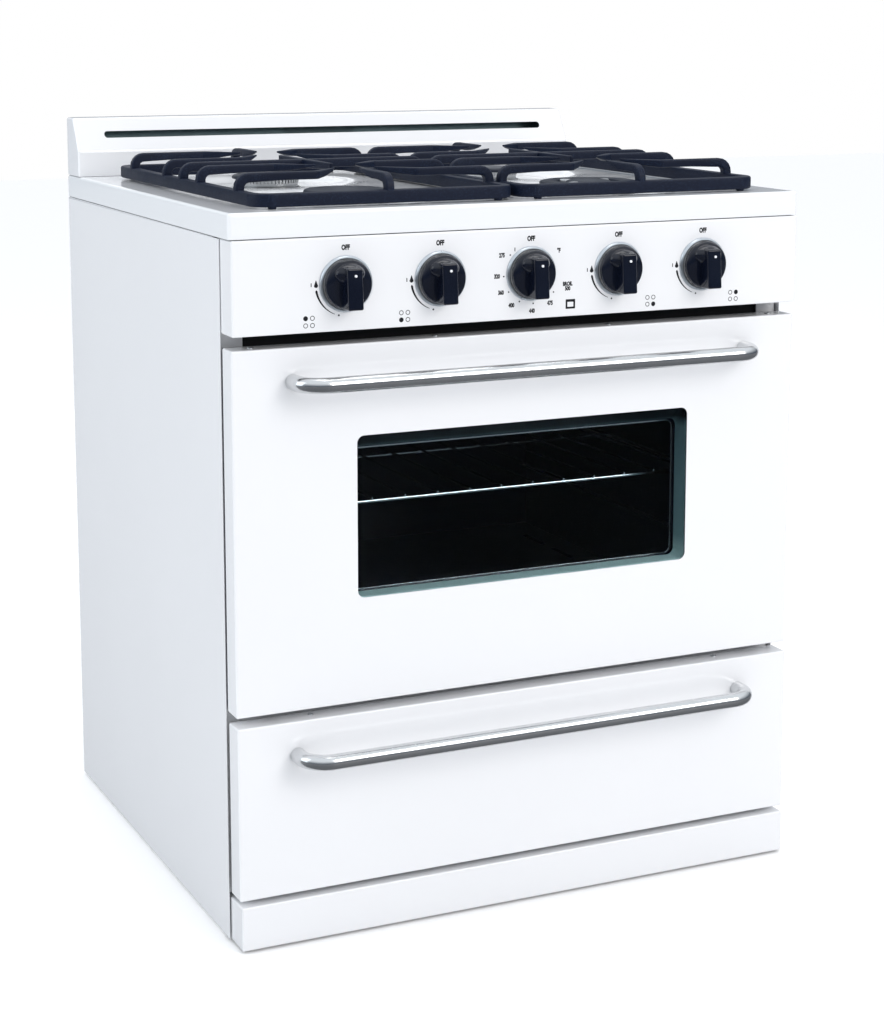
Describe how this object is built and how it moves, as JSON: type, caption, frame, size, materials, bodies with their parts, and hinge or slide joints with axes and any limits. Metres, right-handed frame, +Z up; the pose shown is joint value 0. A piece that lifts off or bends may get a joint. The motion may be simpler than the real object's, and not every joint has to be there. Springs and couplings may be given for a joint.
{
  "type": "freestanding gas range",
  "caption": "White freestanding gas range with cast-iron grates, front control knobs, windowed drop-down oven door, storage drawer and low backguard.",
  "frame": {"origin": "on the floor, under the middle of the whole width and the whole depth with the handles", "axes": "+Z up, front of the range towards -Y, +X to the right of someone facing the front"},
  "size_m": [0.762, 0.7304, 0.959],
  "materials": {
    "white_enamel": "gloss enamel",
    "cooktop_enamel": "gloss enamel",
    "oven_porcelain": "speckled porcelain enamel",
    "bright_wire": "bright plated wire",
    "cast_iron": "matte enamelled casting",
    "black_cap_enamel": "satin enamel",
    "cast_aluminium": "satin casting",
    "stainless": "polished tube",
    "knob_plastic": "gloss",
    "door_glass": "tinted glass",
    "gasket": "woven glass-fibre rope",
    "foot_plastic": "matte",
    "brass": "machined",
    "galvanised": "galvanised sheet"
  },
  "bodies": {
    "casing": {"right_side_panel": "white_enamel", "left_side_panel": "white_enamel", "rear_cover": "galvanised", "base_pan": "galvanised", "front_frame": "white_enamel", "kick_plate": "white_enamel", "control_panel": "white_enamel", "cooktop": "cooktop_enamel", "backguard": "white_enamel", "backguard_vent": "galvanised", "oven_liner": "oven_porcelain", "oven_floor": "oven_porcelain", "oven_burner": "cast_aluminium", "flue_duct": "galvanised", "oven_door_seal": "gasket", "door_hinge_left": "galvanised", "door_hinge_right": "galvanised", "drawer_rail_right": "galvanised", "drawer_rail_left": "galvanised", "gas_manifold": "galvanised", "pressure_regulator": "cast_aluminium", "burner_valve_rear_left": "brass", "burner_valve_front_left": "brass", "burner_valve_front_right": "brass", "burner_valve_rear_right": "brass", "oven_thermostat": "brass", "burner_head_front_left": "cast_aluminium", "burner_head_rear_left": "cast_aluminium", "burner_head_front_right": "cast_aluminium", "burner_head_rear_right": "cast_aluminium"},
    "oven_door": {"door_outer_panel": "white_enamel", "door_inner_panel": "oven_porcelain", "door_outer_glass": "door_glass", "door_inner_glass": "door_glass", "door_handle": "stainless"},
    "drawer": {"drawer_front": "white_enamel", "drawer_box": "galvanised", "drawer_handle": "stainless"},
    "rack": {"oven_rack": "bright_wire"},
    "grate_left": {"grate_left": "cast_iron"},
    "grate_right": {"grate_right": "cast_iron"},
    "stem_rear_left": {"valve_stem_rear_left": "brass"},
    "knob_rear_left": {"knob_rear_left": "knob_plastic"},
    "stem_front_left": {"valve_stem_front_left": "brass"},
    "knob_front_left": {"knob_front_left": "knob_plastic"},
    "stem_oven": {"valve_stem_oven": "brass"},
    "knob_oven": {"knob_oven": "knob_plastic"},
    "stem_front_right": {"valve_stem_front_right": "brass"},
    "knob_front_right": {"knob_front_right": "knob_plastic"},
    "stem_rear_right": {"valve_stem_rear_right": "brass"},
    "knob_rear_right": {"knob_rear_right": "knob_plastic"},
    "cap_front_left": {"burner_cap_front_left": "black_cap_enamel"},
    "cap_rear_left": {"burner_cap_rear_left": "black_cap_enamel"},
    "cap_front_right": {"burner_cap_front_right": "black_cap_enamel", "burner_inner_cap": "black_cap_enamel"},
    "cap_rear_right": {"burner_cap_rear_right": "black_cap_enamel"},
    "foot_front_left": {"levelling_foot_front_left": "foot_plastic"},
    "foot_front_right": {"levelling_foot_front_right": "foot_plastic"},
    "foot_rear_left": {"levelling_foot_rear_left": "foot_plastic"},
    "foot_rear_right": {"levelling_foot_rear_right": "foot_plastic"}
  },
  "joints": [
    {"name": "oven_door_hinge", "type": "hinge", "parent": "casing", "child": "oven_door", "pos_m": [0, -0.30275, 0.304], "axis": [1, 0, 0], "range_deg": [0, 90]},
    {"name": "drawer_slide", "type": "slide", "parent": "casing", "child": "drawer", "axis": [0, -1, 0], "range_m": [0, 0.3]},
    {"name": "oven_rack_slide", "type": "slide", "parent": "casing", "child": "rack", "axis": [0, -1, 0], "range_m": [0, 0.022]},
    {"name": "knob_turn_rear_left", "type": "hinge", "parent": "casing", "child": "stem_rear_left", "pos_m": [-0.24, -0.32175, 0.793], "axis": [0, -1, 0], "range_deg": [0, 180]},
    {"name": "knob_push_rear_left", "type": "slide", "parent": "stem_rear_left", "child": "knob_rear_left", "axis": [0, 1, 0], "range_m": [0, 0.003], "stiffness_N_per_m": 1500},
    {"name": "knob_turn_front_left", "type": "hinge", "parent": "casing", "child": "stem_front_left", "pos_m": [-0.12, -0.32175, 0.793], "axis": [0, -1, 0], "range_deg": [0, 180]},
    {"name": "knob_push_front_left", "type": "slide", "parent": "stem_front_left", "child": "knob_front_left", "axis": [0, 1, 0], "range_m": [0, 0.003], "stiffness_N_per_m": 1500},
    {"name": "knob_turn_oven", "type": "hinge", "parent": "casing", "child": "stem_oven", "pos_m": [0, -0.32175, 0.793], "axis": [0, -1, 0], "range_deg": [0, 240]},
    {"name": "knob_push_oven", "type": "slide", "parent": "stem_oven", "child": "knob_oven", "axis": [0, 1, 0], "range_m": [0, 0.003], "stiffness_N_per_m": 1500},
    {"name": "knob_turn_front_right", "type": "hinge", "parent": "casing", "child": "stem_front_right", "pos_m": [0.12, -0.32175, 0.793], "axis": [0, -1, 0], "range_deg": [0, 180]},
    {"name": "knob_push_front_right", "type": "slide", "parent": "stem_front_right", "child": "knob_front_right", "axis": [0, 1, 0], "range_m": [0, 0.003], "stiffness_N_per_m": 1500},
    {"name": "knob_turn_rear_right", "type": "hinge", "parent": "casing", "child": "stem_rear_right", "pos_m": [0.24, -0.32175, 0.793], "axis": [0, -1, 0], "range_deg": [0, 180]},
    {"name": "knob_push_rear_right", "type": "slide", "parent": "stem_rear_right", "child": "knob_rear_right", "axis": [0, 1, 0], "range_m": [0, 0.003], "stiffness_N_per_m": 1500},
    {"name": "grate_lift_left", "type": "slide", "parent": "casing", "child": "grate_left", "axis": [0, 0, 1], "range_m": [0, 0.06]},
    {"name": "grate_lift_right", "type": "slide", "parent": "casing", "child": "grate_right", "axis": [0, 0, 1], "range_m": [0, 0.06]},
    {"name": "cap_lift_front_left", "type": "slide", "parent": "casing", "child": "cap_front_left", "axis": [0, 0, 1], "range_m": [0, 0.008]},
    {"name": "cap_lift_rear_left", "type": "slide", "parent": "casing", "child": "cap_rear_left", "axis": [0, 0, 1], "range_m": [0, 0.008]},
    {"name": "cap_lift_front_right", "type": "slide", "parent": "casing", "child": "cap_front_right", "axis": [0, 0, 1], "range_m": [0, 0.008]},
    {"name": "cap_lift_rear_right", "type": "slide", "parent": "casing", "child": "cap_rear_right", "axis": [0, 0, 1], "range_m": [0, 0.008]},
    {"name": "foot_screw_front_left", "type": "slide", "parent": "casing", "child": "foot_front_left", "axis": [0, 0, -1], "range_m": [0, 0.028]},
    {"name": "foot_screw_front_right", "type": "slide", "parent": "casing", "child": "foot_front_right", "axis": [0, 0, -1], "range_m": [0, 0.028]},
    {"name": "foot_screw_rear_left", "type": "slide", "parent": "casing", "child": "foot_rear_left", "axis": [0, 0, -1], "range_m": [0, 0.028]},
    {"name": "foot_screw_rear_right", "type": "slide", "parent": "casing", "child": "foot_rear_right", "axis": [0, 0, -1], "range_m": [0, 0.028]}
  ]
}
